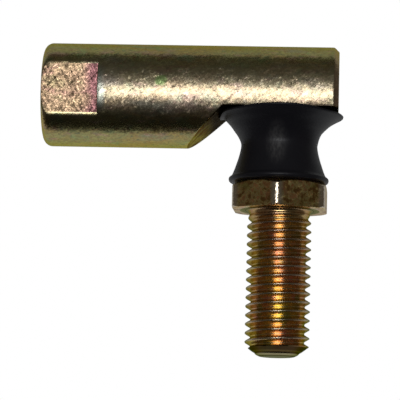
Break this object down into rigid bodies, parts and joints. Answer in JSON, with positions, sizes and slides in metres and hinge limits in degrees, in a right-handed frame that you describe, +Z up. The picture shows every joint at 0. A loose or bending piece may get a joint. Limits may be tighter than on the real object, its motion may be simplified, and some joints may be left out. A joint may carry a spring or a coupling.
{
  "type": "rod end bearing",
  "caption": "Right-angle ball-joint rod end: round-bar housing with a female thread and wrench flats, captive ball socket, rubber dust boot and a threaded stud with an integral hexagon",
  "frame": {"origin": "centre of the threaded end face of the housing, at the mouth of the female thread", "axes": "+X runs along the housing from the threaded end to the ball, +Z points up away from the stud, and the stud hangs along -Z from the ball at x = 28.5 mm"},
  "size_m": [0.0359, 0.0148, 0.0372],
  "materials": {
    "housing_zinc": "yellow dichromate zinc plate on turned steel, satin, slightly mottled",
    "stud_zinc": "yellow dichromate zinc plate on rolled steel, satin",
    "boot_rubber": "moulded black rubber, satin",
    "bearing_steel": "hardened steel, ground",
    "race_bronze": "bearing bronze, turned",
    "spring_steel": "spring steel, dull"
  },
  "bodies": {
    "housing": {"housing": "housing_zinc", "upper_race": "race_bronze", "lower_race": "race_bronze", "retaining_ring": "bearing_steel", "preload_washer": "spring_steel"},
    "boot": {"dust_boot": "boot_rubber"},
    "ball": {"ball": "bearing_steel"},
    "stud": {"stud": "stud_zinc"}
  },
  "joints": [
    {"name": "swing_fore_aft", "type": "hinge", "parent": "housing", "child": "boot", "pos_m": [0.0285, 0, 0], "axis": [0, 1, 0], "range_deg": [-15, 15], "deforming": ["dust_boot"]},
    {"name": "swing_sideways", "type": "hinge", "parent": "boot", "child": "ball", "pos_m": [0.0285, 0, 0], "axis": [1, 0, 0], "range_deg": [-15, 15], "deforming": ["dust_boot"]},
    {"name": "stud_spin", "type": "hinge", "parent": "ball", "child": "stud", "pos_m": [0.0285, 0, 0], "axis": [0, 0, 1], "continuous": true}
  ]
}
